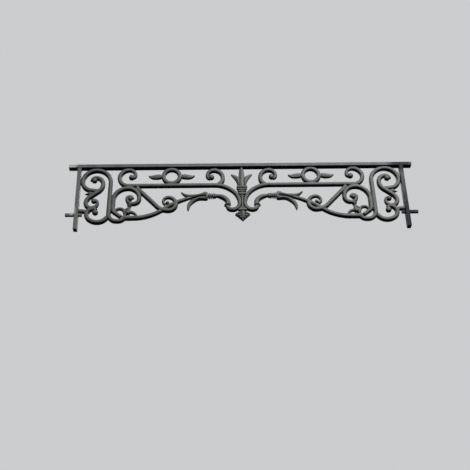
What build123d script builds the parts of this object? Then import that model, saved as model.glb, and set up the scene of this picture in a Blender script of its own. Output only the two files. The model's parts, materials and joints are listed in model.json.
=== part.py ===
"""Cast iron window railing: a flat top rail and two uprights that carry a scrolled casting.

Millimetres. X runs along the railing, Y points into the room and Z points up. The origin is
the middle of the flat face where the left end of the top rail meets the wall.
"""

from build123d import *
from math import atan2, cos, degrees, radians, sin
import os

# Wall opening and the flat bars
opening_width = 1184.0        # wall to wall, which is the length of the top rail
rail_height = 13.0
rail_depth = 22.0
rail_bevel = 1.5
upright_width = 13.0
upright_depth = 22.0
upright_length = 243.0        # below the top rail
upright_inset = 30.5          # from the wall to the outer face of an upright
tang_size = 10.0              # square bar let into the wall low down
tang_reach = 12.0             # how far the tang shows inside the upright
tang_gap = 2.5                # from the lug of the casting down to the tang

# Sections of the cast bars, seen from the front and from front to back
bar_width = 14.0              # main scrolls
bar_depth = 14.0
light_width = 13.0            # long bar, small scrolls and stem
light_depth = 13.0
twig_width = 11.5             # small arches at the foot
twig_depth = 12.0
eye_radius = 9.5              # round boss at the end of a scroll
small_eye_radius = 8.5
knob_radius = 8.0
eye_depth = 16.0
leaf_slope = 1.6              # how far a leaf's slopes would reach, beside its half width
weld = 3.0                    # how deep bars of the casting run into each other

# Heights, measured down from the underside of the top rail
lug_drop = 170.5              # middle of the lug that meets the upright
mid_bar_drop = 71.0           # middle of the long bar
neck_drop = 41.0              # from the long bar down to the middle of the neck
stem_drop = 198.5             # start of the curved stem

# Places along the casting, measured from the inner face of the upright
loop_span = 96.5              # to the far side of the big loop
volute_side = 108.5           # to the left side of the volute
small_scroll_side = 163.5     # to where the long bar starts
stem_start = 148.5

# Places measured from the centre line
long_bar_end = 95.0           # where the long bar turns down into the centre scroll
stem_end = 174.0              # where the stem runs into the flower

# Big loop: its arcs above the upright's contact point and below it
loop_side_radius = 45.5
loop_top_radius = 49.5
loop_foot_radius = 36.5
loop_lean = 2.0               # how far its long side leans inwards, in degrees
loop_side_run = 136.0

# Ring between the rail and the long bar, with a collar and a leaf each side
ring_width = 12.0
ring_collar = 12.5            # length of a collar
ring_collar_height = 16.0
ring_leaf = 79.0              # from the middle of the ring to the tip of a leaf

# Finial in the middle
spear_half = 10.0
belly_half = 15.0
petal_half = 34.0             # from the centre line to the tip of a petal
flange_half = 18.0
foot_flange_half = 13.5
shaft_half = 5.2
bud_half = 25.0
finial_depth = 20.0
band_step = 2.5               # how much shallower each band of the finial is than the last
belly_drop = 82.0             # from the rail down to the upper flange
foot_flange_drop = 166.0
finial_drop = 217.0           # from the rail down to the point

# Places worked out from the sizes above
mid_x = opening_width / 2
rail_underside = -rail_height / 2
clear_half = mid_x - upright_inset - upright_width
tang_drop = lug_drop + light_width / 2 + tang_gap + tang_size / 2
casting_plane = Plane(origin=(mid_x, 0, rail_underside), x_dir=(1, 0, 0), z_dir=(0, -1, 0))
mirror_plane = Plane.YZ.offset(mid_x)


def cast_bar(start, heading, route, width=bar_width, depth=bar_depth):
    """Sweep a flat section along a route that has no kinks.

    A number in the route is a straight run, and a pair is an arc: its radius and how far it
    turns in degrees, to the left when positive.
    """
    tangent = (cos(radians(heading)), sin(radians(heading)))
    with BuildLine(casting_plane) as path:
        for step in route:
            if isinstance(step, tuple):
                edge = JernArc(start, tangent, step[0], step[1])
            elif isinstance(start, tuple):
                edge = Line(start, (start[0] + step * tangent[0], start[1] + step * tangent[1]))
            else:
                edge = Line(start, start + tangent * step)
            start, tangent = edge @ 1, edge % 1
    section_plane = Plane(origin=path.line @ 0, x_dir=(0, 1, 0), z_dir=path.line % 0)
    with BuildPart() as bar:
        with BuildSketch(section_plane):
            Rectangle(depth, width)
        sweep(path=path.line)
    return bar.part


def two_arcs(start, heading, end, end_heading):
    """Route of two arcs that leave one place and reach another at the headings given."""
    along, up = end[0] - start[0], end[1] - start[1]
    middle_heading = 2 * degrees(atan2(up, along)) - (heading + end_heading) / 2
    first, middle, last = radians(heading), radians(middle_heading), radians(end_heading)
    a, b = sin(middle) - sin(first), sin(last) - sin(middle)
    c, d = cos(first) - cos(middle), cos(middle) - cos(last)
    spread = a * d - b * c
    first_radius, last_radius = (along * d - b * up) / spread, (a * up - along * c) / spread
    return [(abs(first_radius), middle_heading - heading),
            (abs(last_radius), end_heading - middle_heading)]


def light_bar(start, heading, route):
    """Bar of the lighter section."""
    return cast_bar(start, heading, route, light_width, light_depth)


def twig(start, heading, route):
    """Bar of the thinnest section."""
    return cast_bar(start, heading, route, twig_width, twig_depth)


def scroll_eye(x, z, radius=eye_radius):
    """Round boss that ends a scroll, a little proud of the bar front and back."""
    with BuildPart() as eye:
        with BuildSketch(casting_plane):
            with Locations((x, z)):
                Circle(radius)
        extrude(amount=eye_depth / 2, both=True)
    return eye.part


def leaf(tip, one_side, other_side, depth=bar_depth):
    """Leaf or petal that slopes both ways from a ridge between its root and its tip.

    The sides are corners from the tip to the root.
    """
    root = Vector(one_side[-1]) / 2 + Vector(other_side[-1]) / 2
    axis = Vector(tip) - root
    across = Vector(-axis.Y, axis.X).normalized()
    half_width = max(abs((Vector(corner) - root).dot(across)) for corner in one_side + other_side)
    slope_end = half_width * leaf_slope
    ridge_plane = Plane(origin=casting_plane.from_local_coords(root), x_dir=(0, 1, 0),
                        z_dir=(axis.X, 0, axis.Y))
    with BuildPart() as blade:
        with BuildSketch(casting_plane):
            with BuildLine():
                Polyline(tip, *one_side, *reversed(other_side), close=True)
            make_face()
        extrude(amount=depth / 2, both=True)
        with BuildSketch(ridge_plane):
            with BuildLine():
                Polyline((depth / 2, 0), (0, slope_end), (-depth / 2, 0), (0, -slope_end),
                         close=True)
            make_face()
        extrude(amount=axis.length, both=True, mode=Mode.INTERSECT)
    return blade.part


def band(x_from, x_to, z_from, z_to, depth):
    """Plain collar or band between two corners."""
    with BuildPart() as collar:
        with BuildSketch(casting_plane):
            with Locations(((x_from + x_to) / 2, (z_from + z_to) / 2)):
                Rectangle(abs(x_to - x_from), abs(z_to - z_from))
        extrude(amount=depth / 2, both=True)
    return collar.part


def big_loop():
    """Loop that touches the upright and the rail, and comes down as a long straight side."""
    start = (-clear_half + bar_width / 2, -bar_width / 2 - loop_side_radius)
    return [
        cast_bar(start, 90, [(loop_side_radius, -90), (loop_top_radius, -90 - loop_lean),
                 loop_side_run]),
        cast_bar(start, -90, [(loop_foot_radius, 85), 16]),
    ]


def end_scrolls():
    """S-scroll inside the big loop, the C-scroll and lug under it, and the foot loop."""
    edge = -clear_half
    loop_foot = -bar_width / 2 - loop_side_radius - loop_foot_radius
    return [
        cast_bar((edge + 37.5, -50), 90, [(13, -90), (26, -90), (38, -52), 36,
                 (30, 52), (19.5, 90), (20, 90), (12, 70)]),
        scroll_eye(edge + 46.5, -48),
        scroll_eye(edge + 48.5, -131, small_eye_radius),
        cast_bar((edge + 58.5, -165.5), 135, [(14, 45), (22, 90), (25, 45), (42, 45), (36, 60)]),
        scroll_eye(edge + 55.5, -174),
        light_bar((edge, -lug_drop), 0, [13.5, (14, -80)]),
        leaf((edge + 18, loop_foot - 15),
             [(edge + 25, loop_foot - 12.5), (edge + 33, loop_foot - 11.5)],
             [(edge + 26, loop_foot - 17.5), (edge + 33, loop_foot - 19)]),
        leaf((edge + 27, loop_foot + 3), [(edge + 40, loop_foot + 5), (edge + 64, loop_foot + 5)],
             [(edge + 34, loop_foot - 15), (edge + 52, loop_foot - 17)], twig_depth),
        cast_bar((edge + loop_span + 3, -158), -90, [22, (28, 90), (22, 55)]),
    ]


def volute_group():
    """Big volute, its tail, the small arches at the foot and the short post between them."""
    side = -clear_half + volute_side
    top = -mid_bar_drop - light_width / 2 + weld
    start = (side, top - bar_width / 2 - 52.5)
    foot = -stem_drop
    return [
        cast_bar(start, 90, [(53, -90), (39, -90), (26, -90), (19, -90), (10, -90)]),
        scroll_eye(side + 59, start[1] + 15, small_eye_radius),
        cast_bar(start, -90, [(48, 45), 14, (40, 15), 16]),
        twig((side + 11, foot + 22.5), 80, [(17, -95), (30, -60)]),
        twig((side + 48, foot + 4.5), 85, [(19, -85), (24, -70)]),
        cast_bar((side + 62, foot + 48.5), -90, [24]),
    ]


def long_bar():
    """Long bar with a small scroll at its outer end and the centre C-scroll at the other."""
    outer_end = -clear_half + small_scroll_side
    inner_end = -long_bar_end
    outer_radius = 32.0
    top_radius = mid_bar_drop - outer_radius - light_width / 2
    neck_z = -mid_bar_drop - neck_drop
    return [
        light_bar((outer_end + 20, -mid_bar_drop), 180, [20, (outer_radius, -90),
                  (top_radius, -90), (22, -90), (11, -70)]),
        scroll_eye(outer_end + 9, -37),
        light_bar((outer_end, -mid_bar_drop), 0, [inner_end - outer_end, (90, -45), (66, -45),
                  (25.5, -90), (20, -60)]),
        light_bar((inner_end + 13, 3 - mid_bar_drop), 25, [(26, 65), 4, (mid_bar_drop - neck_drop,
                  90), (23, 90), (12, 80)]),
        scroll_eye(inner_end - 11, -39),
        light_bar((inner_end - 3, neck_z), 0, [8, (50, -40), (25, -50), 18]),
        scroll_eye(inner_end + 37, neck_z - 37, knob_radius),
    ]


def ring_and_leaves():
    """Ring that fills the space between the rail and the long bar, with a leaf each side."""
    ring_x = (small_scroll_side - clear_half - long_bar_end) / 2
    ring_outer = (mid_bar_drop - light_width / 2 + weld) / 2
    ring_z = -ring_outer
    collar_half = ring_collar_height / 2
    with BuildPart() as ring:
        with BuildSketch(casting_plane):
            with Locations((ring_x, ring_z)):
                Circle(ring_outer)
                Circle(ring_outer - ring_width, mode=Mode.SUBTRACT)
        extrude(amount=light_depth / 2, both=True)
    pieces = [ring.part]
    for side in (-1, 1):
        near = ring_x + side * (ring_outer - weld)
        far = near + side * ring_collar
        root = far - side * weld
        tip = ring_x + side * ring_leaf
        pieces.append(band(near, far, ring_z - collar_half, ring_z + collar_half, bar_depth))
        pieces.append(leaf((tip, ring_z + 1),
                           [((root + tip) / 2, ring_z + 6), (root, ring_z + collar_half - 1)],
                           [((root + tip) / 2 + side * 6, ring_z - 6),
                            (root, ring_z - collar_half + 1)]))
    return pieces


def flower_spray():
    """Straight stay, small loop, curved stem and the flower that opens towards them."""
    edge = -clear_half
    neck_z = -mid_bar_drop - neck_drop
    foot_run = 35.0
    stem_from = (edge + stem_start + foot_run, -stem_drop)
    rise = two_arcs(stem_from, 0, (-stem_end, neck_z - 8.4), 16)
    ring_top, ring_foot = neck_z + 7, neck_z - 15
    return [
        cast_bar((edge + 191, -mid_bar_drop - 8.4), -47, [102, (52, 47), (26, 90), (26, 90),
                 (17, 90), (12, 70)]),
        light_bar((edge + stem_start, -stem_drop), 0, [foot_run, *rise]),
        leaf((-208, neck_z + 12), [(-201, neck_z + 7), (-191, neck_z + 3.5), (-166, neck_z + 3)],
             [(-198, neck_z - 2), (-184, neck_z - 10), (-166, neck_z - 14)]),
        leaf((-183, neck_z - 60), [(-188, neck_z - 38), (-181, neck_z - 20), (-168, neck_z - 6)],
             [(-179, neck_z - 43), (-170, neck_z - 29), (-148, neck_z - 16)]),
        band(-178, -134, neck_z - 16, neck_z + 3, bar_depth),
        band(-139, -117, neck_z - 19, neck_z + 10.5, bar_depth + 2),
        band(-122, -90, neck_z - 12, neck_z + 4, bar_depth),
        band(-118, -109.5, ring_foot, ring_top, bar_depth + 4),
        band(-109, -100.5, ring_foot + 1, ring_top - 1, bar_depth + 4),
        band(-100, -88, ring_foot + 1.5, ring_top - 1, bar_depth + 2),
    ]


def centred_leaf(tip_z, right_side, depth):
    """Leaf on the centre line, from its tip and the corners of its right side."""
    return leaf((0, tip_z), right_side, [(-x, z) for x, z in right_side], depth)


def finial_bands():
    """Bands under the belly, each narrower and shallower than the one above it."""
    bands = []
    half, top, depth = flange_half, -belly_drop, finial_depth
    for height, narrower in ((6, 3), (8, 2), (8, 4), (9, 0)):
        bands.append(band(-half, half, top - height, top, depth))
        half, top, depth = half - narrower, top - height, depth - band_step
    return bands


with BuildPart() as top_rail:
    with BuildSketch(Plane.YZ):
        Rectangle(rail_depth, rail_height)
    extrude(amount=opening_width)
    chamfer(top_rail.edges().filter_by(Axis.X), rail_bevel)
top_rail.part.label = "top_rail"

with BuildPart() as left_upright:
    with BuildSketch(Plane.XY.offset(rail_underside)):
        with Locations((upright_inset + upright_width / 2, 0)):
            Rectangle(upright_width, upright_depth)
    extrude(amount=-upright_length)
    with BuildSketch(Plane.YZ.offset(upright_inset)):
        with Locations((0, rail_underside - tang_drop)):
            Rectangle(tang_size, tang_size)
    extrude(amount=upright_width, mode=Mode.SUBTRACT)
left_upright.part.label = "left_upright"

with BuildPart() as left_tang:
    with BuildSketch(Plane.YZ):
        with Locations((0, rail_underside - tang_drop)):
            Rectangle(tang_size, tang_size)
    extrude(amount=upright_inset + upright_width + tang_reach)
left_tang.part.label = "left_tang"

left_pieces = big_loop() + end_scrolls() + volute_group() + long_bar()
left_pieces += ring_and_leaves() + flower_spray()
with BuildPart() as left_scrollwork:
    add(left_pieces)
left_scrollwork.part.label = "left_scrollwork"

petal_z = -belly_drop + 52
bud_z = -foot_flange_drop - 9
finial_pieces = [
    centred_leaf(0, [(spear_half - 2, -16), (spear_half, -belly_drop + 46),
                     (spear_half, -belly_drop - 1)], bar_depth),
    centred_leaf(-belly_drop + 50, [(belly_half - 3, -belly_drop + 28),
                                    (belly_half, -belly_drop + 16),
                                    (belly_half - 1, -belly_drop - 1)], finial_depth),
    band(-shaft_half, shaft_half, bud_z, -belly_drop - 20, bar_depth),
    band(-foot_flange_half, foot_flange_half, bud_z - 1, -foot_flange_drop,
         finial_depth - band_step),
    centred_leaf(-finial_drop, [(bud_half, bud_z - 15), (foot_flange_half, bud_z)], finial_depth),
]
for side in (-1, 1):
    finial_pieces.append(leaf(
        (side * petal_half, petal_z),
        [(side * 27, petal_z - 3.5), (side * 19, petal_z - 11), (side * 8, petal_z - 24)],
        [(side * 27, petal_z - 9), (side * 18.5, petal_z - 22), (side * 14, petal_z - 42)]))
with BuildPart() as centre_finial:
    add(finial_pieces + finial_bands())
centre_finial.part.label = "centre_finial"

right_upright = mirror(left_upright.part, about=mirror_plane)
right_tang = mirror(left_tang.part, about=mirror_plane)
right_scrollwork = mirror(left_scrollwork.part, about=mirror_plane)
right_upright.label = "right_upright"
right_tang.label = "right_tang"
right_scrollwork.label = "right_scrollwork"

os.makedirs("parts", exist_ok=True)
for piece in (top_rail.part, left_upright.part, right_upright, left_tang.part, right_tang,
              left_scrollwork.part, right_scrollwork, centre_finial.part):
    export_step(piece, f"parts/{piece.label}.step")
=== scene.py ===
"""Looks of a cast iron window railing: top rail, two uprights, two stubs and cast scrollwork.

Metres, in the frame of the measured part: X runs along the railing, Y points into the room and
Z points up. Lengths of the castings are written in millimetres in a flat drawing of each piece:
x from the middle of the railing, z from the underside of the top rail, h towards the street.
"""

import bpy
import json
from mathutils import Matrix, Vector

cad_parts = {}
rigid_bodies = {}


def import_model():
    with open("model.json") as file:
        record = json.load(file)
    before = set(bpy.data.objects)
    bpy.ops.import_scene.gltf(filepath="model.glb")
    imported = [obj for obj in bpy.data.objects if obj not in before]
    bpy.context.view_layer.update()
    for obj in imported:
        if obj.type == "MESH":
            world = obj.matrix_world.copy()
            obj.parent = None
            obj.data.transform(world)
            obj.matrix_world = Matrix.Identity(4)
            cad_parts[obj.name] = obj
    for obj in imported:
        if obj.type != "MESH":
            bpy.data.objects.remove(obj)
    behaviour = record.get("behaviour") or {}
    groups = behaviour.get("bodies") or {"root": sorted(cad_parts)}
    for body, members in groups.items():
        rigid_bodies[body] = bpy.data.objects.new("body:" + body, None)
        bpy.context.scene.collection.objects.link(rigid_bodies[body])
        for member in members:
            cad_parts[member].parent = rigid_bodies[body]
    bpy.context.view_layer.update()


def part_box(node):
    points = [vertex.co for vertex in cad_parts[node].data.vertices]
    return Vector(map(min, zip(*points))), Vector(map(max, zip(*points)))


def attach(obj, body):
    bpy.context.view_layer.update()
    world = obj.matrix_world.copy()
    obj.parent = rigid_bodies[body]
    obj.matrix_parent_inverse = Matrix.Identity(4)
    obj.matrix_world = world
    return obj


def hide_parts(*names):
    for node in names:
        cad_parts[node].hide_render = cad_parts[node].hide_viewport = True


bl_info = {
    "name": "Window railing",
    "version": (1, 0, 0),
    "blender": (4, 5, 0),
    "location": "3D View > Sidebar > Railing",
    "description": "Makes the castings, bars and paint of a cast iron window railing",
    "category": "Add Mesh",
}

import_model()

import json
import math

import bmesh
import bpy
import numpy as np
from mathutils import Matrix, Vector, noise

MM = 0.001
RAIL_LOW, RAIL_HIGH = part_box("top_rail")
POST_LOW, POST_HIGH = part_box("left_upright")
STUB_LOW, STUB_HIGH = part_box("left_tang")
MIDDLE_X = (RAIL_LOW.x + RAIL_HIGH.x) / 2
UNDER_RAIL = RAIL_LOW.z

# Inner face of the left upright in the drawing of a casting
EDGE = (POST_HIGH.x - MIDDLE_X) / MM

# Points round the section of a cast bar, sides and rings of the button at a scroll's end
SECTION_POINTS = 48
BUTTON_SIDES = 40
BUTTON_RINGS = 24

# Points across a leaf, and round the hoops, bodies, bands and beads
LEAF_POINTS = 13
HOOP_POINTS = 120
BODY_POINTS = 40
BAND_POINTS = 36
BEAD_POINTS = 20

# Most triangles in the skin of one casting
TRIANGLE_LIMIT = 190000

# Slow and quick swells per metre in the skin of the castings and of the flat bars
CAST_SWELLS = (95, 260)
BAR_SWELLS = (60, 180)

# How squarely a full front faces forward, and how far down the skin faces where the painted shade
# of undersides begins and where it is full
FULL_FRONT = 0.98
UNDER_START, UNDER_FULL = -0.20, -0.62

# Places and sizes of the large soft lights above the front and behind the railing
KEY_PLACE, KEY_SIZE = (MIDDLE_X + 0.75, -1.30, 1.25), (2.4, 1.1)
BACK_PLACE, BACK_SIZE = (MIDDLE_X + 0.3, 1.5, 1.4), (2.4, 1.0)

# Where the camera stands, then its turn, its tilt and its upward look in radians
CAMERA_PLACE = (0.48181, -2.34609, -1.61944)
CAMERA_YAW, CAMERA_ROLL, CAMERA_CLIMB = 0.0350402, -0.0286018, 0.5204058


def number(name, description, default, **kind):
    """A number, plain or of this kind."""
    return bpy.props.FloatProperty(name=name, description=description, default=default, **kind)


def length(name, description, default):
    """A length in metres."""
    return number(name, description, default, subtype="DISTANCE", unit="LENGTH", precision=4)


def colour(name, description, default):
    """A colour."""
    return bpy.props.FloatVectorProperty(name=name, description=description, default=default,
                                         size=3, min=0.0, max=1.0, subtype="COLOR")


class RailingBars(bpy.types.PropertyGroup):
    """Sizes of the flat bars."""
    edge: length("Eased edge", "Radius on the long edges of the flat bars", 0.001)
    wave: length("Waviness", "How far old paint and rust stand off a straight bar", 0.0002)
    station: length("Station", "Distance between the sections of a flat bar", 0.004)


class RailingCasting(bpy.types.PropertyGroup):
    """Sections of the cast bars and the grain of the casting."""
    bar_width: length("Scroll width", "Main scrolls, seen from the front", 0.0148)
    bar_depth: length("Scroll depth", "Main scrolls, front to back", 0.0158)
    light_width: length("Light width", "Long bar, small scrolls and stem, from the front", 0.0145)
    light_depth: length("Light depth", "Long bar, small scrolls and stem, front to back", 0.0146)
    twig_width: length("Twig width", "Arches at the foot, seen from the front", 0.0116)
    twig_depth: length("Twig depth", "Arches at the foot, front to back", 0.0132)
    button_depth: length("Button depth", "Round end of a scroll, front to back", 0.0175)
    front_square: number("Front squareness", "2 makes a round front, more a flatter one", 2.6)
    back_square: number("Back squareness", "The same for the back half of a bar", 8.0)
    grain: length("Grain", "Size of the cells that fuse a casting", 0.0009)
    fine_grain: length("Fine grain", "The same for the centre finial", 0.0006)
    wave: length("Waviness", "How uneven the cast and painted skin is", 0.00022)


class RailingFinish(bpy.types.PropertyGroup):
    """Colours of the old paint, rust and lime, and of the painted shade, highlight and shadow."""
    paint: colour("Casting paint", "Weathered paint on the castings", (0.058, 0.060, 0.056))
    bar_paint: colour("Bar paint", "Weathered paint on the flat bars", (0.055, 0.061, 0.065))
    # Chalky paint colour; laid on crests it is also a painted highlight
    worn: colour("Worn paint", "Chalky paint on the crests", (0.150, 0.152, 0.138))
    # Dark colour for dirt with painted shade in the hollows, and for painted shade on sides and
    # undersides
    soot_and_shade: colour("Soot", "Dirt in the hollows", (0.010, 0.010, 0.009))
    rust: colour("Rust", "Rust at the feet and stubs", (0.130, 0.105, 0.078))
    lime: colour("Lime", "Lime and mortar smeared on the ends", (0.36, 0.34, 0.29))
    # Painted shadow: dark bluish colour where the window reveal shades the right upright and the
    # rail's right end
    reveal_shadow: colour("Damp paint", "Dark bluish paint on the shaded upright", (0.018, 0.020, 0.026))
    moss: colour("Green film", "Green film on the upright", (0.045, 0.065, 0.035))


class RailingStage(bpy.types.PropertyGroup):
    """Floor, light and camera."""
    floor_z: length("Floor", "Height of the floor", -3.2)
    floor_size: length("Floor size", "Side of the square floor", 240.0)
    floor_tone: colour("Floor colour", "Pale floor", (0.62, 0.62, 0.61))
    sky_tone: colour("Surround colour", "Pale light from above the horizon", (0.80, 0.81, 0.82))
    ground_tone: colour("Ground colour", "What the undersides see", (0.03, 0.03, 0.03))
    sky_power: number("Surround strength", "Strength of the pale surround", 0.75)
    key_power: number("Key light", "Power of the large light above the front, in watts", 90.0)
    back_power: number("Back light", "Power of the light behind the railing, in watts", 40.0)
    lens: number("Lens", "Focal length of the camera", 62.8, unit="CAMERA")


def link_object(name, data):
    """A new object for this mesh or curve, in the scene."""
    thing = bpy.data.objects.new(name, data)
    bpy.context.scene.collection.objects.link(thing)
    return thing


def plain_mesh(thing, name):
    """The object's finished shape as a plain mesh, with nothing left to work out."""
    bpy.context.view_layer.update()
    graph = bpy.context.evaluated_depsgraph_get()
    mesh = bpy.data.meshes.new_from_object(thing.evaluated_get(graph), depsgraph=graph)
    mesh.name = name
    return mesh


def drop(thing):
    """Removes a helper object and its mesh or curve."""
    bpy.data.batch_remove((thing, thing.data))


def smooth_step(value):
    """Eases in and out between 0 and 1."""
    value = min(1.0, max(0.0, value))
    return value * value * (3 - 2 * value)


def catmull(points, count):
    """A smooth line of count points through the given points, evenly spaced along it."""
    given = np.array(points, float)
    padded = np.vstack([2 * given[0] - given[1], given, 2 * given[-1] - given[-2]])
    fine = []
    for i in range(1, len(padded) - 2):
        a, b, c, d = padded[i - 1:i + 3]
        for t in np.linspace(0, 1, 24, endpoint=False):
            fine.append(0.5 * (2 * b + (c - a) * t + (2 * a - 5 * b + 4 * c - d) * t ** 2
                               + (3 * b - a - 3 * c + d) * t ** 3))
    fine = np.vstack(fine + [given[-1]])
    run = np.concatenate([[0], np.cumsum(np.linalg.norm(np.diff(fine, axis=0), axis=1))])
    stops = np.linspace(0, run[-1], count)
    return np.column_stack([np.interp(stops, run, fine[:, k]) for k in range(fine.shape[1])])


def new_tree(name, sizes):
    """An empty geometry tree with these sizes as named inputs, and the sockets of its inputs."""
    tree = bpy.data.node_groups.new(name, "GeometryNodeTree")
    face = tree.interface
    face.new_socket("Geometry", in_out="INPUT", socket_type="NodeSocketGeometry")
    for label, default in sizes.items():
        socket = face.new_socket(label, in_out="INPUT", socket_type="NodeSocketFloat")
        socket.default_value = default
    face.new_socket("Material", in_out="INPUT", socket_type="NodeSocketMaterial")
    face.new_socket("Geometry", in_out="OUTPUT", socket_type="NodeSocketGeometry")
    return tree, node(tree, "NodeGroupInput").outputs


def feed(tree, made, inputs):
    """Links a node's inputs to sockets or nodes' first outputs, or sets them to plain values."""
    for key, value in inputs.items():
        if isinstance(value, bpy.types.Node):
            value = value.outputs[0]
        if isinstance(value, bpy.types.NodeSocket):
            tree.links.new(value, made.inputs[key])
        else:
            made.inputs[key].default_value = value


def node(tree, kind, inputs=None, **settings):
    """A new node with its settings and inputs."""
    made = tree.nodes.new(kind)
    for key, value in settings.items():
        setattr(made, key, value)
    feed(tree, made, inputs or {})
    return made


def maths(tree, operation, first, second=0.0):
    """The result of one sum on sockets or numbers."""
    return node(tree, "ShaderNodeMath", {0: first, 1: second}, operation=operation).outputs[0]


def times(tree, first, second):
    """Two sockets or numbers multiplied."""
    return maths(tree, "MULTIPLY", first, second)


def vector(tree, x, y, z=0.0):
    """A vector put together from its parts."""
    return node(tree, "ShaderNodeCombineXYZ", {0: x, 1: y, 2: z})


def point_parts(tree):
    """The x, y and z of every point of a shape."""
    spot = node(tree, "GeometryNodeInputPosition")
    return node(tree, "ShaderNodeSeparateXYZ", {0: spot}).outputs


def moved(tree, shape, *place):
    """The shape with its points set to these x, y and z."""
    return node(tree, "GeometryNodeSetPosition",
                {"Geometry": shape, "Position": vector(tree, *place)})


def swept(tree, line, section, girth=1.0):
    """The section swept along flat lines, with filled ends."""
    flat = node(tree, "GeometryNodeSetCurveNormal", {"Curve": line}, mode="Z_UP")
    return node(tree, "GeometryNodeCurveToMesh",
                {"Curve": flat, "Profile Curve": section, "Scale": girth, "Fill Caps": True})


def finish_tree(tree, geometry, material):
    """Ends a tree in real geometry that carries its material."""
    real = node(tree, "GeometryNodeRealizeInstances", {"Geometry": geometry})
    painted = node(tree, "GeometryNodeSetMaterial", {"Geometry": real, "Material": material})
    node(tree, "NodeGroupOutput", {"Geometry": painted})
    return tree


def super_power(tree, value, power):
    """Value raised to a power, with its sign kept."""
    size = maths(tree, "POWER", maths(tree, "ABSOLUTE", value), power)
    return times(tree, maths(tree, "SIGN", value), size)


def cast_bar_tree():
    """Sweeps a full, softly squared section along flat curves. A curve's radius sets its girth."""
    tree, given = new_tree("cast bar", {"Width": 0.011, "Depth": 0.013,
                                        "Front squareness": 3.4, "Back squareness": 7.0})
    ring = node(tree, "GeometryNodeCurvePrimitiveCircle",
                {"Resolution": SECTION_POINTS, "Radius": 1.0})
    x, y, _ = point_parts(tree)
    is_front = maths(tree, "LESS_THAN", y, 0.0)
    more = maths(tree, "SUBTRACT", given["Front squareness"], given["Back squareness"])
    square = maths(tree, "ADD", given["Back squareness"], times(tree, is_front, more))
    power = maths(tree, "DIVIDE", 2.0, square)
    half_width = times(tree, given["Width"], 0.5)
    half_depth = times(tree, given["Depth"], 0.5)
    across = times(tree, super_power(tree, x, power), half_width)
    deep = times(tree, super_power(tree, y, power), half_depth)
    girth = node(tree, "GeometryNodeInputRadius")
    bar = swept(tree, given["Geometry"], moved(tree, ring, across, deep), girth)
    return finish_tree(tree, bar, given["Material"])


def flat_bar_tree():
    """Sweeps a flat bar with eased edges along straight lines."""
    tree, given = new_tree("flat bar", {"Width": 0.013, "Depth": 0.022, "Edge": 0.0014,
                                        "Station": 0.004})
    box = node(tree, "GeometryNodeCurvePrimitiveQuadrilateral",
               {"Width": given["Width"], "Height": given["Depth"]}, mode="RECTANGLE")
    round_box = node(tree, "GeometryNodeFilletCurve",
                     {"Curve": box, "Radius": given["Edge"], "Count": 4}, mode="POLY")
    section = node(tree, "GeometryNodeSubdivideCurve", {"Curve": round_box, "Cuts": 3})
    line = node(tree, "GeometryNodeResampleCurve",
                {"Curve": given["Geometry"], "Length": given["Station"]}, mode="LENGTH")
    bar = swept(tree, line, section)
    return finish_tree(tree, bar, given["Material"])


def button_tree():
    """Sets a domed button on every point. A point's girth is the button's radius."""
    tree, given = new_tree("scroll button", {"Depth": 0.015, "Squareness": 2.6})
    ball = node(tree, "GeometryNodeMeshUVSphere",
                {"Segments": BUTTON_SIDES, "Rings": BUTTON_RINGS, "Radius": 1.0})
    x, y, z = point_parts(tree)
    power = maths(tree, "DIVIDE", 2.0, given["Squareness"])
    reach = node(tree, "ShaderNodeVectorMath", {0: vector(tree, x, y)}, operation="LENGTH")
    away = maths(tree, "MAXIMUM", reach.outputs["Value"], 0.0001)
    swell = maths(tree, "DIVIDE", maths(tree, "POWER", away, power), away)
    button = moved(tree, ball, times(tree, x, swell),
                   times(tree, y, swell), super_power(tree, z, power))
    girth = node(tree, "GeometryNodeInputNamedAttribute", {"Name": "girth"},
                 data_type="FLOAT").outputs["Attribute"]
    half_depth = times(tree, given["Depth"], 0.5)
    set_out = node(tree, "GeometryNodeInstanceOnPoints",
                   {"Points": given["Geometry"], "Instance": button,
                    "Scale": vector(tree, girth, girth, half_depth)})
    return finish_tree(tree, set_out, given["Material"])


def run_tree(thing, tree, values, name):
    """Gives the object the tree with these inputs and returns the plain mesh it makes."""
    modifier = thing.modifiers.new("make", "NODES")
    modifier.node_group = tree
    for item in tree.interface.items_tree:
        if item.item_type == "SOCKET" and item.in_out == "INPUT" and item.name in values:
            modifier[item.identifier] = values[item.name]
    mesh = plain_mesh(thing, name)
    thing.modifiers.remove(modifier)
    drop(thing)
    return mesh


def route_points(start, heading, route, step=1.6):
    """Points along a chain of straight runs and (radius, turn) arcs. A left turn is positive."""
    x, z = start
    angle = math.radians(heading)
    points = [(x, z)]
    for leg in route:
        if isinstance(leg, tuple):
            radius, turn = leg[0], math.radians(leg[1])
            side = math.copysign(radius, turn)
            middle = (x - side * math.sin(angle), z + side * math.cos(angle))
            parts = max(3, math.ceil(radius * abs(turn) / step))
            for i in range(1, parts + 1):
                a = angle + turn * i / parts
                points.append((middle[0] + side * math.sin(a), middle[1] - side * math.cos(a)))
            angle += turn
        else:
            parts = max(1, math.ceil(leg / step))
            for i in range(1, parts + 1):
                reach = leg * i / parts
                points.append((x + reach * math.cos(angle), z + reach * math.sin(angle)))
        x, z = points[-1]
    return points


def turns(count):
    """Evenly spaced angles once round."""
    return [2 * math.pi * i / count for i in range(count)]


def squared_turn(angle, power):
    """Cosine and sine of an angle, raised to a power so that a circle becomes squarer."""
    c, s = math.cos(angle), math.sin(angle)
    return math.copysign(abs(c) ** power, c), math.copysign(abs(s) ** power, s)


def sided(side, points, x=0, z=0):
    """Points measured from (x, z), mirrored where side is -1."""
    return [(x + side * across, z + up) for across, up in points]


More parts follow.
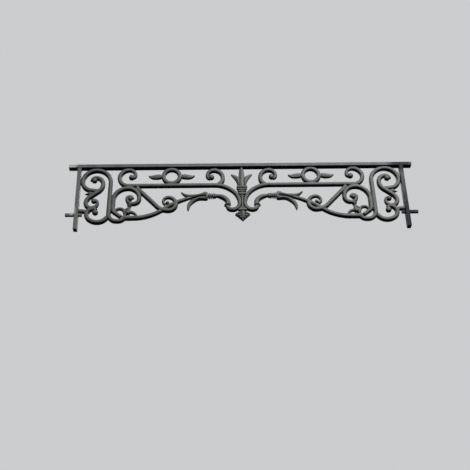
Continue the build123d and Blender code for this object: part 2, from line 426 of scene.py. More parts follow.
class Mould:
    """What a casting is put together from before it is fused, in millimetres."""

    def __init__(self):
        self.bars = {"bar": [], "light": [], "twig": []}
        self.buttons = []
        self.shapes = bmesh.new()

    def bar(self, start, heading, route, section="bar", girth=((0, 1), (1, 1))):
        """A cast bar. Girth is (share of the length, size) pairs that the bar swells between."""
        points = route_points(start, heading, route)
        run = [0.0]
        for a, b in zip(points, points[1:]):
            run.append(run[-1] + math.dist(a, b))
        stops, sizes = zip(*girth)
        line = []
        for point, reach in zip(points, run):
            at = reach / run[-1]
            k = max(i for i, stop in enumerate(stops[:-1]) if stop <= at + 1e-9)
            swell = smooth_step((at - stops[k]) / (stops[k + 1] - stops[k]))
            line.append((*point, sizes[k] + (sizes[k + 1] - sizes[k]) * swell))
        self.bars[section].append((line, False))

    def hoop(self, x, z, radius):
        """A closed ring of the light section: its middle line has this radius."""
        line = [(x + radius * math.cos(a), z + radius * math.sin(a), 1.0)
                for a in np.linspace(0, 2 * math.pi, HOOP_POINTS, endpoint=False)]
        self.bars["light"].append((line, True))

    def button(self, x, z, radius):
        """The round end of a scroll."""
        self.buttons.append((x, z, radius))

    def loft(self, rings):
        """A closed skin over rings of points, each with the same number of points."""
        bm = self.shapes
        rows = [[bm.verts.new(point) for point in ring] for ring in rings]
        around = len(rows[0])
        for row, above in zip(rows, rows[1:]):
            for i in range(around):
                j = (i + 1) % around
                bm.faces.new((row[i], row[j], above[j], above[i]))
        bm.faces.new(rows[0][::-1])
        bm.faces.new(rows[-1])

    def leaf(self, side_a, side_b, depth, tip, edge=3.0, form="ridge", stations=30):
        """A leaf between two side lines from root to tip: thin at its sides, full inside.

        Tip is the share of its depth that is left at the tip, edge its thickness at the sides
        and form its front, ridge or round."""
        a, b = catmull(side_a, stations), catmull(side_b, stations)
        half = depth / 2
        rings = []
        for i in range(stations):
            t = i / (stations - 1)
            body = half * (1 - (1 - tip) * smooth_step((t - 0.25) / 0.75))
            rim = min(edge / 2, body)
            middle, reach = (a[i] + b[i]) / 2, (b[i] - a[i]) / 2
            if np.linalg.norm(reach) < 0.5:
                reach = (b[-4] - a[-4]) / np.linalg.norm(b[-4] - a[-4]) * 0.5
            front, back = [], []
            for s in np.linspace(-1, 1, LEAF_POINTS):
                x, z = middle + reach * s
                front.append((x, z, rim + (body - rim) * leaf_height(abs(s), form)))
                back.append((x, z, -rim - (body - rim) * leaf_height(abs(s), "round")))
            rings.append(front + back[::-1])
        self.loft(rings)

    def even_leaf(self, side, depth, **form):
        """A leaf across the middle of the railing, with both sides alike."""
        self.leaf(sided(-1, side), sided(1, side), depth, **form)

    def stack(self, stations, square=2.4):
        """An upright body of rings at heights z: (z, half width, half depth)."""
        ring = [squared_turn(a, 2 / square) for a in turns(BODY_POINTS)]
        self.loft([[(wide * c, z, deep * s) for c, s in ring] for z, wide, deep in stations])

    def stack_across(self, x, wide, z, high, deep):
        """A rounded band round a bar that lies along x."""
        ring = [squared_turn(a, 0.7) for a in turns(BAND_POINTS)]
        self.loft([[(x + wide * along, z + high * size * c, deep * size * s) for c, s in ring]
                   for along, size in ((-0.5, 0.9), (-0.42, 0.97), (0, 1), (0.42, 0.97),
                                       (0.5, 0.9))])

    def bead(self, x, z, h, radius):
        """A ball with its middle h towards the street."""
        rings = []
        for a in [math.pi * i / 10 for i in range(1, 10)]:
            reach, height = radius * math.sin(a), h - radius * math.cos(a)
            rings.append([(x + reach * math.cos(b), z + reach * math.sin(b), height)
                          for b in turns(BEAD_POINTS)])
        self.loft(rings)

    def block(self, x0, x1, z0, z1, depth, ease=1.5):
        """A block with eased corners."""
        rings = []
        half = depth / 2
        for h, inset in ((-half, ease), (-half + ease, 0), (half - ease, 0), (half, ease)):
            rings.append([(x0 + inset, z0 + inset, h), (x1 - inset, z0 + inset, h),
                          (x1 - inset, z1 - inset, h), (x0 + inset, z1 - inset, h)])
        self.loft(rings)


def leaf_height(s, form):
    """How high a leaf stands at a share s of the way from its middle to its side."""
    if form == "ridge":
        return (1 - s) ** 0.85
    return (1 - s ** 2.4) ** 0.5 if s < 1 else 0.0


def curve_object(name, lines, unit=MM):
    """An object of flat lines. Each is its (x, z, girth) points and whether it is closed."""
    data = bpy.data.curves.new(name, "CURVE")
    data.dimensions = "3D"
    for points, closed in lines:
        spline = data.splines.new("POLY")
        spline.points.add(len(points) - 1)
        spline.use_cyclic_u = closed
        for point, (x, z, girth) in zip(spline.points, points):
            point.co = (x * unit, z * unit, 0, 1)
            point.radius = girth
    return link_object(name, data)


def bar_meshes(mould, sizes, material):
    """The mould's bars and buttons as plain meshes, still in the flat drawing."""
    tree = cast_bar_tree()
    meshes = []
    for section, lines in mould.bars.items():
        if lines:
            values = {"Width": getattr(sizes, f"{section}_width"),
                      "Depth": getattr(sizes, f"{section}_depth"),
                      "Front squareness": sizes.front_square,
                      "Back squareness": sizes.back_square, "Material": material}
            meshes.append(run_tree(curve_object(section, lines), tree, values, section))
    if mould.buttons:
        points = bpy.data.meshes.new("button points")
        points.from_pydata([(x * MM, z * MM, 0) for x, z, radius in mould.buttons], [], [])
        write_values(points, "girth", [radius * MM for x, z, radius in mould.buttons])
        values = {"Depth": sizes.button_depth, "Material": material}
        thing = link_object("buttons", points)
        meshes.append(run_tree(thing, button_tree(), values, "buttons"))
    return meshes


def joined(mould, sizes, material):
    """One mesh with all that the mould holds, in metres and still in the flat drawing."""
    bmesh.ops.recalc_face_normals(mould.shapes, faces=mould.shapes.faces)
    bmesh.ops.scale(mould.shapes, vec=(MM, MM, MM), verts=mould.shapes.verts)
    for mesh in bar_meshes(mould, sizes, material):
        mould.shapes.from_mesh(mesh)
        bpy.data.meshes.remove(mesh)
    result = bpy.data.meshes.new("joined")
    mould.shapes.to_mesh(result)
    mould.shapes.free()
    return result


def fused(mesh, grain, wave):
    """Fuses overlapping shapes into one cast skin with soft inner corners."""
    thing = link_object("fusing", mesh)
    remesh = thing.modifiers.new("fuse", "REMESH")
    remesh.mode = "VOXEL"
    remesh.voxel_size = grain
    skin = plain_mesh(thing, "skin")
    drop(thing)
    relax(skin, 3)
    roughen(skin, wave)
    count = sum(len(face.vertices) - 2 for face in skin.polygons)
    if count > TRIANGLE_LIMIT:
        thing = link_object("thinning", skin)
        thin = thing.modifiers.new("thin", "DECIMATE")
        thin.ratio = TRIANGLE_LIMIT / count
        skin = plain_mesh(thing, "skin")
        drop(thing)
    return skin


def read_array(source, key, width, kind=float):
    """What every vertex or edge holds under this key, as an array."""
    values = np.empty(len(source) * width, kind)
    source.foreach_get(key, values)
    return values.reshape(-1, width)


def mesh_arrays(mesh):
    """Places, normals and edges of a mesh as arrays."""
    return (read_array(mesh.vertices, "co", 3),
            read_array(mesh.vertex_normals, "vector", 3, np.float32),
            read_array(mesh.edges, "vertices", 2, np.int32))


def write_places(mesh, places):
    """Moves the vertices of a mesh to these places."""
    mesh.vertices.foreach_set("co", places.ravel())
    mesh.update()


def write_values(mesh, name, values):
    """Writes a number for every vertex under this name."""
    written = mesh.attributes.get(name) or mesh.attributes.new(name, "FLOAT", "POINT")
    written.data.foreach_set("value", values)


def neighbour_mean(values, edges):
    """The mean of each vertex's neighbours."""
    count = len(values)
    total = np.zeros(values.shape)
    ways = np.bincount(edges.ravel(), minlength=count)[:, None]
    for k in range(values.shape[1]):
        total[:, k] = (np.bincount(edges[:, 0], values[edges[:, 1], k], minlength=count)
                       + np.bincount(edges[:, 1], values[edges[:, 0], k], minlength=count))
    return total / np.maximum(ways, 1)


def relax(mesh, rounds):
    """Evens out the skin without letting it shrink."""
    places, _, edges = mesh_arrays(mesh)
    for pull in (0.5, -0.52) * rounds:
        places = places + pull * (neighbour_mean(places, edges) - places)
    write_places(mesh, places)


def roughen(mesh, wave):
    """Low, uneven swells such as a sand casting has under many coats of paint."""
    places, normals, _ = mesh_arrays(mesh)
    slow, quick = CAST_SWELLS
    push = np.array([noise.noise(Vector(p) * slow) * 0.7 + noise.noise(Vector(p) * quick) * 0.3
                     for p in places])
    places += normals * (push * wave)[:, None]
    write_places(mesh, places)


def mark_crests(mesh, rounds=3):
    """Writes where the skin is raised, 1, or hollow, 0: crests get chalky worn paint that is also a
    painted highlight, hollows get dirt with painted shade.
    """
    places, normals, edges = mesh_arrays(mesh)
    apart = np.linalg.norm(places[edges[:, 0]] - places[edges[:, 1]], axis=1).mean()
    bend = ((places - neighbour_mean(places, edges)) * normals).sum(1)[:, None]
    for _ in range(rounds):
        bend = (bend + neighbour_mean(bend, edges)) / 2
    value = 0.5 + 2.5 * MM * bend[:, 0] / (apart * apart)
    write_values(mesh, "crest", np.clip(value, 0, 1).astype(np.float32))


def mark_lit_fronts(mesh, least, tops):
    """Writes how squarely the skin faces street or room: 1 on a front, 0 on a side or underside.
    The paint puts painted shade where this is low.

    Least is the slope that still counts as a side. With tops, upper faces count as fronts."""
    normals = mesh_arrays(mesh)[1]
    facing = np.abs(normals[:, 1])
    if tops:
        facing = np.maximum(facing, normals[:, 2])
    square = np.clip((facing - least) / (FULL_FRONT - least), 0, 1)
    under = np.clip((normals[:, 2] - UNDER_FULL) / (UNDER_START - UNDER_FULL), 0, 1)
    value = square * square * (3 - 2 * square) * under * under * (3 - 2 * under)
    write_values(mesh, "front", value.astype(np.float32))


def stand_up(mesh):
    """Turns the flat drawing upright and moves it to its place in the frame."""
    turn = Matrix.Rotation(math.radians(90), 4, "X")
    mesh.transform(Matrix.Translation((MIDDLE_X, 0, UNDER_RAIL)) @ turn)
    mesh.update()


def mirrored(mesh, name):
    """The same casting for the other side of the railing."""
    copy = mesh.copy()
    copy.name = name
    flip = Matrix.Diagonal((-1, 1, 1, 1))
    flip.translation = (2 * MIDDLE_X, 0, 0)
    copy.transform(flip)
    bm = bmesh.new()
    bm.from_mesh(copy)
    bmesh.ops.reverse_faces(bm, faces=bm.faces)
    bmesh.ops.recalc_face_normals(bm, faces=bm.faces)
    bm.to_mesh(copy)
    bm.free()
    return copy


def set_piece(name, mesh, material, slot, *nodes, least=0.78, tops=False):
    """Puts a finished piece in the scene in place of its measured nodes."""
    mark_crests(mesh)
    mark_lit_fronts(mesh, least, tops)
    mesh.materials.clear()
    mesh.materials.append(material)
    for face in mesh.polygons:
        face.use_smooth = True
        face.material_index = 0
    piece = link_object(name, mesh)
    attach(piece, "root")
    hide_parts(*nodes)


def big_loop(mould):
    """The tall loop beside the upright: from the upright over the top and down to the foot."""
    start = (EDGE + 7, -52.5)
    mould.bar(start, 90, [(45.5, -90), (49.5, -91), 136])
    mould.bar(start, -90, [(36.5, 85), 16])


def end_scrolls(mould):
    """The S-scroll inside the loop, the C-scroll under it and the lug on the upright."""
    mould.bar((EDGE + 37.5, -50), 90,
              [(13, -90), (26, -90), (38, -52), 36, (30, 52), (19.5, 90), (20, 90), (12, 70)],
              girth=((0, 0.72), (0.18, 1), (0.72, 1), (1, 0.66)))
    mould.button(EDGE + 46.5, -48, 9.8)
    mould.button(EDGE + 48.5, -131, 8.8)
    mould.bar((EDGE + 58.5, -165.5), 135, [(14, 45), (22, 90), (25, 45), (42, 45), (36, 60)],
              girth=((0, 0.75), (0.2, 1), (1, 1)))
    mould.button(EDGE + 55.5, -175.8, 10.2)
    mould.bar((EDGE + 0.6, -170.5), 0, [13.5, (14, -80)], "light", girth=((0, 1), (1, 0.9)))
    mould.leaf([(-512, -94), (-521, -98), (-531, -102.5)],
               [(-514, -108), (-523, -106.5), (-531.5, -104)], 11, tip=0.6)
    mould.leaf([(-480, -84), (-508.5, -84.5), (-520, -86)],
               [(-492, -108), (-512.5, -106), (-521, -95)], 9, edge=8, form="round", tip=0.9)


def foot(mould):
    """The loop at the foot, the leaf that grows from the volute and the small arches."""
    mould.bar((EDGE + 100.5, -158), -90, [25, (27, 90), 6, (22, 58), 8],
              girth=((0, 1), (1, 0.9)))
    mould.bar((-435, -150), -90, [13, (19, 52), 26],
              girth=((0, 1), (0.35, 1), (0.7, 0.9), (1, 0.9)))
    mould.bar((-428, -178.5), 90, [(16.5, -100), (17, -65), 12], "twig",
              girth=((0, 0.8), (0.4, 0.84), (1, 1.1)))
    mould.bar((-395, -196), 90, [(20, -90), (20, -75), 6], "twig",
              girth=((0, 0.95), (0.5, 0.84), (1, 0.75)))
    mould.bar((-380, -146), -90, [19, (14, -30), 10], girth=((0, 1.1), (0.4, 0.6), (1, 1.15)))
    mould.leaf([(-385, -158), (-392, -163), (-399, -166)],
               [(-385, -172), (-392, -171), (-399.5, -168.5)], 13, edge=8, tip=0.7)


def volute(mould):
    """The large volute that stands on the small arches."""
    mould.bar((-435, -150), 90, [21, (48, -90), (39, -90), 3, (20, -90), 2, (19, -90),
                                 (10, -90), (9, -90)],
              girth=((0, 1), (0.62, 1), (0.86, 0.8), (1, 0.7)))
    mould.button(-378.5, -123.3, 7.8)


def long_bar(mould):
    """The long bar with a small scroll at each end and the scroll beside the finial."""
    mould.bar((-365, -71), 180, [20, (32, -90), (32.5, -90), (22, -90), (11, -70)], "light",
              girth=((0, 1), (0.6, 1), (1, 0.74)))
    mould.button(-376, -37, 9.8)
    mould.bar((-385, -71), 0, [292, (92, -45), (65, -45), (25.5, -90), (17, -62), 5, (8, 50), 4],
              "light", girth=((0, 1), (0.86, 1), (0.95, 1), (1, 0.62)))
    mould.bar((-79.5, -68), 25, [(26, 65), 4, (30, 90), (23, 90), (12, 80)], "light",
              girth=((0, 1.05), (0.6, 1), (1, 0.72)))
    mould.button(-103.3, -39, 9.8)


def ring_and_leaves(mould):
    """The ring between rail and long bar with a collar and a leaf on either side."""
    x, z = -239.3, -33.9
    mould.hoop(x, z, 27.7)
    for side in (-1, 1):
        mould.block(*sorted((x + side * 30, x + side * 35.5)), z - 6.5, z + 3.5, 13)
        mould.block(*sorted((x + side * 36, x + side * 41.5)), z - 9, z + 6, 14, 2)
        upper = [(38, 5.5), (46, 6.2), (60, 3.6), (70, 1.2), (78.5, 2.2)]
        lower = [(38, -8.5), (50, -10.2), (62, -9.6), (71, -6.5), (79, 0.6)]
        mould.leaf(sided(side, upper, x, z), sided(side, lower, x, z), 15, edge=11, tip=0.62)


def stay_and_stem(mould):
    """The straight stay that curls into a small loop and the stem that rises through it."""
    mould.bar((-357.5, -79.4), -47, [102, (52, 47), (26, 90), (26, 90), (17, 90), (12, 70)],
              girth=((0, 1), (0.6, 1), (1, 0.62)))
    mould.button(-252, -141.5, 6.5)
    mould.bar((-402, -198.5), 0, [37, (165.2, 36.5), (290.9, -20.5), 24], "light",
              girth=((0, 1.05), (0.6, 0.95), (1, 0.75)))


def flower(mould):
    """The bell flower on the stem, its collar of rings and the neck that ends in a ledge."""
    top = [(-116, -106), (-119.5, -102), (-125, -99.8), (-131, -101.5), (-140, -106.5),
           (-152, -109.3), (-166, -110.3), (-180, -110.2), (-190, -108.2), (-198, -104.8),
           (-206.5, -100)]
    under_top = [(-116, -115.5), (-124, -115.5), (-132, -115), (-142, -116.5), (-152, -118.5),
                 (-163, -121), (-174, -120.5), (-184, -118), (-191, -116.3), (-198, -112),
                 (-207, -101.5)]
    mould.leaf(top, under_top, 17, edge=11.5, tip=0.75, stations=44)
    over_foot = [(-116, -116), (-126, -118), (-134, -119.5), (-144, -119.5), (-156, -123),
                 (-168, -128.5), (-177, -135.5), (-183.5, -145), (-187, -156), (-186.5, -166),
                 (-183.5, -172.5)]
    foot_side = [(-116, -127), (-120, -130), (-130, -130.3), (-140, -129.5), (-150, -131.5),
                 (-160, -137.5), (-168, -144.5), (-173.5, -151), (-177, -158), (-179.5, -165),
                 (-182, -172.5)]
    mould.leaf(over_foot, foot_side, 17.5, edge=11.5, tip=0.75, stations=44)
    mould.block(-150, -119, -122, -111, 7.5)
    mould.block(-124, -86, -119.5, -110, 8)
    for x, high, depth in ((-111.6, 10.4, 18), (-104.9, 9.8, 17.5), (-98.2, 9.4, 17),
                           (-91.5, 8.8, 16)):
        mould.stack_across(x, 4.6, -115.2, high, depth / 2)
    mould.stack_across(-119.8, 7.5, -115.5, 14, 9.6)
    mould.bar((-89.5, -114), 0, [0.5, (50, -40), (25, -50), 4], "light",
              girth=((0, 0.8), (0.45, 1.12), (1, 1.2)))
    mould.block(-58, -39, -151.5, -147.5, 18, 1.4)
    mould.block(-54, -42, -163, -147, 10.5, 1)


def cast_parts(*parts):
    """A mould with all these parts in it."""
    mould = Mould()
    for part in parts:
        part(mould)
    return mould


def spear(mould):
    """The spear that rises from the cup to the rail, with its two petals."""
    mould.even_leaf([(2.5, -0.4), (5, -5), (7.6, -12), (8.6, -20), (9.6, -31), (10.6, -42),
                     (11.5, -55), (13, -70), (13, -83)], 18, edge=9, tip=1.0, stations=50)
    inner = [(6, -68), (6.5, -57), (9.5, -44.5), (15, -37), (24, -32.5), (35.5, -28)]
    outer = [(15.5, -83), (15.8, -72), (18, -60.5), (22.5, -50), (28.8, -40), (36.3, -30)]
    for side in (-1, 1):
        mould.leaf(sided(side, inner), sided(side, outer), 18.5, edge=10, tip=0.55, stations=44)


def belly(mould):
    """The leaf in front of the spear and the cup of bands under it."""
    mould.even_leaf([(7, -83), (7.2, -70), (5.4, -56), (0, -40)], 21.5, edge=17, tip=0.8)
    for high, low, half, depth in ((-79.5, -85, 18.2, 21.5), (-88, -92.6, 15.8, 19),
                                   (-96, -100.6, 13.4, 18), (-104, -111.8, 11, 17)):
        mould.block(-half, half, low, high, depth, 0.9)
    mould.stack([(-80, 16, 8.6), (-92, 14, 7.7), (-104, 11, 7.2), (-114, 8.6, 6.4), (-119, 5.4, 4)])


def bud(mould):
    """The panelled shaft, the lower flange and the pointed bud with its beads."""
    for half, low, high, depth, ease in (
            (5.1, -170, -113, 8, 1), (8.5, -134, -110, 7, 1), (8.5, -172, -153, 7, 1),
            (2.6, -166, -119.5, 15.5, 1.6), (9, -118.6, -116.6, 14, 0.8),
            (9.5, -168.5, -162, 14.5, 1.6), (14.2, -175.5, -168.5, 19, 1.8)):
        mould.block(-half, half, low, high, depth, ease)
    mould.stack([(-174, 10, 7), (-180, 12, 7.2), (-189, 15, 7.4), (-197, 12.6, 7),
                 (-205, 7.5, 6), (-212, 3.2, 4.2), (-216, 0.9, 2)], square=2.0)
    mould.even_leaf([(4.5, -177), (7, -188), (5.5, -201), (0, -215.5)], 21, edge=13, tip=0.5)
    upper = [(7, -177), (13, -179.5), (19, -183.5), (25.5, -188.5)]
    lower = [(2.5, -212), (9, -205.5), (17, -198), (25.5, -190.5)]
    for side in (-1, 1):
        mould.leaf(sided(side, upper), sided(side, lower), 15, edge=8, tip=0.6)
        for x, z, size in ((11.2, -185.5, 3.9), (18.6, -188, 3.4), (11, -195.5, 3.6),
                           (6.6, -203.5, 2.8)):
            mould.bead(side * x, z, 7.6 - x * 0.1, size)


def cast_skin(context, name, mould, grain, wave):
    """The fused skin of a casting in its place, and its paint."""
    paint = material_once(context, "cast_iron_paint", cast_paint)
    skin = fused(joined(mould, context.scene.railing_casting, paint), grain, wave)
    stand_up(skin)
    skin.name = name
    return skin, paint


def set_flat_bar(context, name, replaced, low, high, upright=False):
    """Makes the flat bar that fills the box from low to high, along X or upright."""
    bars = context.scene.railing_bars
    paint = material_once(context, "bar_iron_paint", bar_paint)
    x, z = (low.x + high.x) / 2, (low.z + high.z) / 2
    ends, width = ((low.x, z, 1), (high.x, z, 1)), high.z - low.z
    if upright:
        ends, width = ((x, low.z, 1), (x, high.z, 1)), high.x - low.x
    values = {"Width": width, "Depth": high.y - low.y, "Edge": bars.edge,
              "Station": bars.station, "Material": paint}
    line = curve_object(name, [(ends, False)], unit=1)
    mesh = run_tree(line, flat_bar_tree(), values, name)
    mesh.transform(Matrix.Rotation(math.radians(90), 4, "X"))
    dent(mesh, bars.wave, low, high)
    set_piece(name, mesh, paint, "bar_iron", replaced, tops=True)


def dent(mesh, wave, low, high):
    """Gives a flat bar an uneven painted skin that stays inside its measured box."""
    places, normals, _ = mesh_arrays(mesh)
    slow, quick = BAR_SWELLS
    for i, place in enumerate(places):
        spot = Vector(place)
        depth = abs(noise.noise(spot * slow)) + 0.5 * abs(noise.noise(spot * quick))
        places[i] -= normals[i] * depth * wave
    write_places(mesh, np.clip(places, np.array(low), np.array(high)))


def shade_tree(name):
    """A new material with its tree and shader, and the piece's own coordinates in metres."""
    material = bpy.data.materials.new(name)
    material.use_nodes = True
    tree = material.node_tree
    shader = tree.nodes["Principled BSDF"]
    place = node(tree, "ShaderNodeTexCoord").outputs["Object"]
    return material, tree, shader, place


def cloud(tree, place, scale, detail, rough=0.5):
    """Uneven noise between 0 and 1."""
    return node(tree, "ShaderNodeTexNoise", {"Vector": place, "Scale": scale, "Detail": detail,
                                             "Roughness": rough}).outputs["Fac"]


def patch(tree, place, centre, reach, blur, scale, rough=0.5):
    """A ragged patch round a centre, in metres: 1 inside, 0 outside."""
    spot = node(tree, "ShaderNodeMapping",
                {"Vector": place, "Location": [-c / r for c, r in zip(centre, reach)],
                 "Scale": [1 / r for r in reach]}, vector_type="POINT")
    away = node(tree, "ShaderNodeVectorMath", {0: spot}, operation="LENGTH").outputs["Value"]
    ragged = maths(tree, "SUBTRACT", cloud(tree, place, scale, 5.0, 0.7), 0.5)
    edge = maths(tree, "ADD", away, times(tree, ragged, rough * 4))
    return stretch(tree, edge, 1 + blur, 1 - blur)


def blend(tree, share_of, first, second):
    """Colour first where the share is 0 and second where it is 1."""
    ends = [c if isinstance(c, bpy.types.NodeSocket) else (*c, 1) for c in (first, second)]
    # The colours of a mix node are its inputs 6 and 7 and its output 2
    return node(tree, "ShaderNodeMix", {0: share_of, 6: ends[0], 7: ends[1]},
                data_type="RGBA").outputs[2]


def stretch(tree, value, low, high, bottom=0.0, top=1.0):
    """Stretches a value between low and high over bottom to top."""
    return node(tree, "ShaderNodeMapRange",
                {"Value": value, "From Min": low, "From Max": high, "To Min": bottom,
                 "To Max": top}).outputs["Result"]


def old_paint(tree, place, paint, finish):
    """Weathered dark paint: cloudy tone, fine speckle, chalky crests that are also a painted
    highlight, dirt and painted shade in the hollows, painted shade on sides and undersides.
    """
    crest = node(tree, "ShaderNodeAttribute", attribute_name="crest").outputs["Fac"]
    front = node(tree, "ShaderNodeAttribute", attribute_name="front").outputs["Fac"]
    speck = cloud(tree, place, 620.0, 3.0, 0.7)
    wear_and_shading = maths(tree, "ADD", crest, times(tree, maths(tree, "SUBTRACT", speck, 0.5), 0.35))
    tone = blend(tree, stretch(tree, cloud(tree, place, 28.0, 4.0, 0.6), 0.3, 0.72),
                 [c * 0.72 for c in paint], [c * 1.45 for c in paint])
    # Pale speckle; pale crests, worn paint and painted highlight; dark hollows, dirt and painted
    # shade; painted shade where the front mark is low, on sides and undersides
    for value, none, full, most, over in ((speck, 0.5, 0.8, 0.5, finish.worn),
                                          (wear_and_shading, 0.58, 0.90, 0.85, finish.worn),
                                          (wear_and_shading, 0.47, 0.30, 0.85, finish.soot_and_shade),
                                          (front, 1.0, 0.0, 0.9, finish.soot_and_shade)):
        tone = blend(tree, stretch(tree, value, none, full, 0.0, most), tone, over)
    return tone, speck


def cast_surface(tree, shader, place, tone, speck, smoothest, strength, depth):
    """Gives the shader its colour, roughness and grainy, pitted skin."""
    height = maths(tree, "ADD", times(tree, cloud(tree, place, 950.0, 3.0, 0.65), 0.45),
                   cloud(tree, place, 230.0, 2.0))
    bump = node(tree, "ShaderNodeBump",
                {"Height": height, "Strength": strength, "Distance": depth})
    feed(tree, shader, {"Base Color": tone, "Normal": bump,
                        "Roughness": stretch(tree, speck, 0.3, 0.7, smoothest, 0.72)})


def cast_paint(name, finish):
    """Paint of the castings."""
    material, tree, shader, place = shade_tree(name)
    tone, speck = old_paint(tree, place, finish.paint, finish)
    cast_surface(tree, shader, place, tone, speck, 0.50, 0.5, 0.0004)
    feed(tree, shader, {"Specular IOR Level": 0.35})
    return material


def bar_paint(name, finish):
    """Paint of the flat bars, with lime at the wall, rust at the feet, a green film and a painted
    shadow of the window reveal on the right upright and the rail's right end.
    """
    material, tree, shader, place = shade_tree(name)
    tone, speck = old_paint(tree, place, finish.bar_paint, finish)
    left, right = POST_LOW.x, 2 * MIDDLE_X - POST_LOW.x
    stub_z = (STUB_LOW.z + STUB_HIGH.z) / 2
    rust = patch(tree, place, (left, 0, POST_LOW.z), (0.03, 0.05, 0.045), 0.5, 60.0)
    worn = patch(tree, place, (left, 0, -0.13), (0.03, 0.05, 0.10), 0.5, 40.0, 0.2)
    # Painted shadow of the window reveal: a dark bluish patch on the right upright and one at the
    # rail's right end, with less sheen there
    upright_shadow = patch(tree, place, (right, 0, -0.25), (0.04, 0.05, 0.20), 0.5, 40.0, 0.15)
    rail_end_shadow = patch(tree, place, (RAIL_HIGH.x - 0.038, 0, 0), (0.04, 0.05, 0.04), 0.4, 40.0,
                      0.15)
    reveal_shadow = maths(tree, "MAXIMUM", upright_shadow, rail_end_shadow)
    stub_lime = patch(tree, place, (left - 0.006, -0.008, stub_z + 0.012),
                      (0.011, 0.02, 0.018), 0.25, 90.0)
    rail_lime = patch(tree, place, (0.008, -0.012, RAIL_LOW.z + 0.009),
                      (0.021, 0.02, 0.009), 0.3, 80.0, 0.35)
    moss = patch(tree, place, (POST_HIGH.x, -0.01, -0.03), (0.012, 0.02, 0.03), 0.4, 70.0)
    for mask, most, over in ((rust, 0.45, finish.rust), (worn, 0.3, finish.worn),
                             (reveal_shadow, 0.92, finish.reveal_shadow), (stub_lime, 0.8, finish.lime),
                             (rail_lime, 0.85, finish.lime), (moss, 0.35, finish.moss)):
        tone = blend(tree, times(tree, mask, most), tone, over)
    cast_surface(tree, shader, place, tone, speck, 0.48, 0.4, 0.0003)
    feed(tree, shader, {"Specular IOR Level": stretch(tree, reveal_shadow, 0.0, 1.0, 0.3, 0.04)})
    return material


def material_once(context, name, maker):
    """The material of that name, made the first time it is asked for."""
    return bpy.data.materials.get(name) or maker(name, context.scene.railing_finish)


class RAILING_OT_top_rail(bpy.types.Operator):
    """Make the flat top rail"""
    bl_idname = "railing.top_rail"
    bl_label = "Top rail"

    def execute(self, context):
        set_flat_bar(context, "top_rail_bar", "top_rail", RAIL_LOW, RAIL_HIGH)
        return {"FINISHED"}


class RAILING_OT_uprights(bpy.types.Operator):
    """Make the two flat uprights"""
    bl_idname = "railing.uprights"
    bl_label = "Uprights"

    def execute(self, context):
        for side in ("left", "right"):
            low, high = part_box(f"{side}_upright")
            set_flat_bar(context, f"{side}_post", f"{side}_upright", low, high, upright=True)
        return {"FINISHED"}


class RAILING_OT_stubs(bpy.types.Operator):
    """Make the square stubs that run from the uprights into the wall"""
    bl_idname = "railing.stubs"
    bl_label = "Stubs"

    def execute(self, context):
        for side in ("left", "right"):
            low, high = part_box(f"{side}_tang")
            set_flat_bar(context, f"{side}_stub", f"{side}_tang", low, high)
        return {"FINISHED"}


class RAILING_OT_castings(bpy.types.Operator):
    """Make the two mirrored halves of the scrolled casting"""
    bl_idname = "railing.castings"
    bl_label = "Scrolled castings"

    def execute(self, context):
        sizes = context.scene.railing_casting
        mould = cast_parts(big_loop, end_scrolls, foot, volute, long_bar, ring_and_leaves,
                           stay_and_stem, flower)
        skin, paint = cast_skin(context, "left_scrolls", mould, sizes.grain, sizes.wave)
        set_piece("left_scrolls", skin, paint, "cast_iron", "left_scrollwork")
        set_piece("right_scrolls", mirrored(skin, "right_scrolls"), paint, "cast_iron",
                  "right_scrollwork")
        return {"FINISHED"}


class RAILING_OT_finial(bpy.types.Operator):
    """Make the centre finial"""
    bl_idname = "railing.finial"
    bl_label = "Centre finial"

    def execute(self, context):
        sizes = context.scene.railing_casting
        skin, paint = cast_skin(context, "finial", cast_parts(spear, belly, bud),
                                sizes.fine_grain, sizes.wave * 0.7)
        set_piece("finial", skin, paint, "cast_iron", "centre_finial", least=0.45)
        return {"FINISHED"}


class RAILING_OT_stage(bpy.types.Operator):
    """Set the floor, the light and the camera"""
    bl_idname = "railing.stage"
    bl_label = "Stage"

    def execute(self, context):
        stage = context.scene.railing_stage
        set_floor(stage)
        set_light(stage)
        set_camera(stage)
        context.scene.view_settings.view_transform = "Standard"
        return {"FINISHED"}


def set_floor(stage):
    """A plain pale floor well below the railing."""
    half = stage.floor_size / 2
    mesh = bpy.data.meshes.new("floor")
    mesh.from_pydata([(MIDDLE_X + across * half, along * half, stage.floor_z)
                      for across, along in ((-1, -1), (1, -1), (1, 1), (-1, 1))],
                     [], [(0, 1, 2, 3)])
    floor = link_object("floor", mesh)
    material, tree, shader, place = shade_tree("floor_plaster")
    pale = blend(tree, stretch(tree, cloud(tree, place, 3.0, 6.0), 0.3, 0.7),
                 [c * 0.97 for c in stage.floor_tone], stage.floor_tone)
    feed(tree, shader, {"Base Color": pale, "Roughness": 0.9})
    mesh.materials.append(material)
    floor.visible_diffuse = False
    floor.visible_glossy = False


def aim(thing, target):
    """Points a light at a place."""
    away = Vector(target) - thing.location
    thing.rotation_euler = away.to_track_quat("-Z", "Y").to_euler()


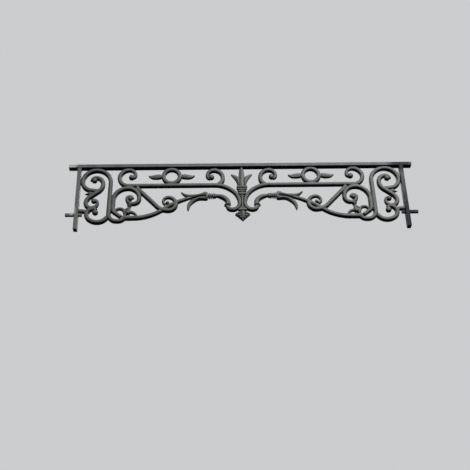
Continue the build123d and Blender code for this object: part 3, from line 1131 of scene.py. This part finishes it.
def set_light(stage):
    """A pale surround, one large soft light above the front and a weaker one behind."""
    world = bpy.data.worlds.new("surround")
    bpy.context.scene.world = world
    world.use_nodes = True
    tree = world.node_tree
    sky = tree.nodes["Background"]
    view = node(tree, "ShaderNodeTexCoord").outputs["Generated"]
    across, along, climb = node(tree, "ShaderNodeSeparateXYZ", {0: view}).outputs
    street = stretch(tree, along, 0.0, -1.0, 0.0, 0.3)
    height = maths(tree, "SUBTRACT", climb, street)
    pale = blend(tree, stretch(tree, height, -0.03, 0.02), stage.ground_tone, stage.sky_tone)
    aside = stretch(tree, maths(tree, "ABSOLUTE", across), 0.45, 0.9, 0.0, 0.8)
    pale = blend(tree, aside, pale, stage.ground_tone)
    feed(tree, sky, {"Color": pale, "Strength": stage.sky_power})
    for name, place, size, power in (("key", KEY_PLACE, KEY_SIZE, stage.key_power),
                                     ("back", BACK_PLACE, BACK_SIZE, stage.back_power)):
        data = bpy.data.lights.new(name, "AREA")
        data.shape = "RECTANGLE"
        data.size, data.size_y = size
        data.energy = power
        light = link_object(name, data)
        light.location = place
        aim(light, (MIDDLE_X, 0, -0.1))


def set_camera(stage):
    """The camera stands below the railing and looks up at it from the street."""
    data = bpy.data.cameras.new("camera")
    data.lens = stage.lens
    data.sensor_width = 36
    data.clip_end = 100
    camera = link_object("camera", data)
    turn = (Matrix.Rotation(-CAMERA_YAW, 4, "Z")
            @ Matrix.Rotation(math.radians(90) + CAMERA_CLIMB, 4, "X")
            @ Matrix.Rotation(CAMERA_ROLL, 4, "Z"))
    camera.matrix_world = Matrix.Translation(CAMERA_PLACE) @ turn
    bpy.context.scene.camera = camera


class RAILING_PT_panel(bpy.types.Panel):
    """Lists the steps that make the railing"""
    bl_idname = "RAILING_PT_panel"
    bl_label = "Railing"
    bl_space_type = "VIEW_3D"
    bl_region_type = "UI"
    bl_category = "Railing"

    def draw(self, context):
        for step in STEPS:
            self.layout.operator(step.bl_idname)
        for group in GROUPS:
            box = self.layout.box()
            settings = getattr(context.scene, group)
            for name in type(settings).__annotations__:
                box.prop(settings, name)


GROUPS = {"railing_bars": RailingBars, "railing_casting": RailingCasting,
          "railing_finish": RailingFinish, "railing_stage": RailingStage}
STEPS = (RAILING_OT_stage, RAILING_OT_top_rail, RAILING_OT_uprights, RAILING_OT_stubs,
         RAILING_OT_castings, RAILING_OT_finial)
CLASSES = (*GROUPS.values(), *STEPS, RAILING_PT_panel)


def register():
    for item in CLASSES:
        bpy.utils.register_class(item)
    for name, group in GROUPS.items():
        setattr(bpy.types.Scene, name, bpy.props.PointerProperty(type=group))


def unregister():
    for name in GROUPS:
        delattr(bpy.types.Scene, name)
    for item in reversed(CLASSES):
        bpy.utils.unregister_class(item)


def main():
    register()
    bpy.ops.railing.stage()
    bpy.ops.railing.top_rail()
    bpy.ops.railing.uprights()
    bpy.ops.railing.stubs()
    bpy.ops.railing.castings()
    bpy.ops.railing.finial()


if __name__ == "__main__":
    main()
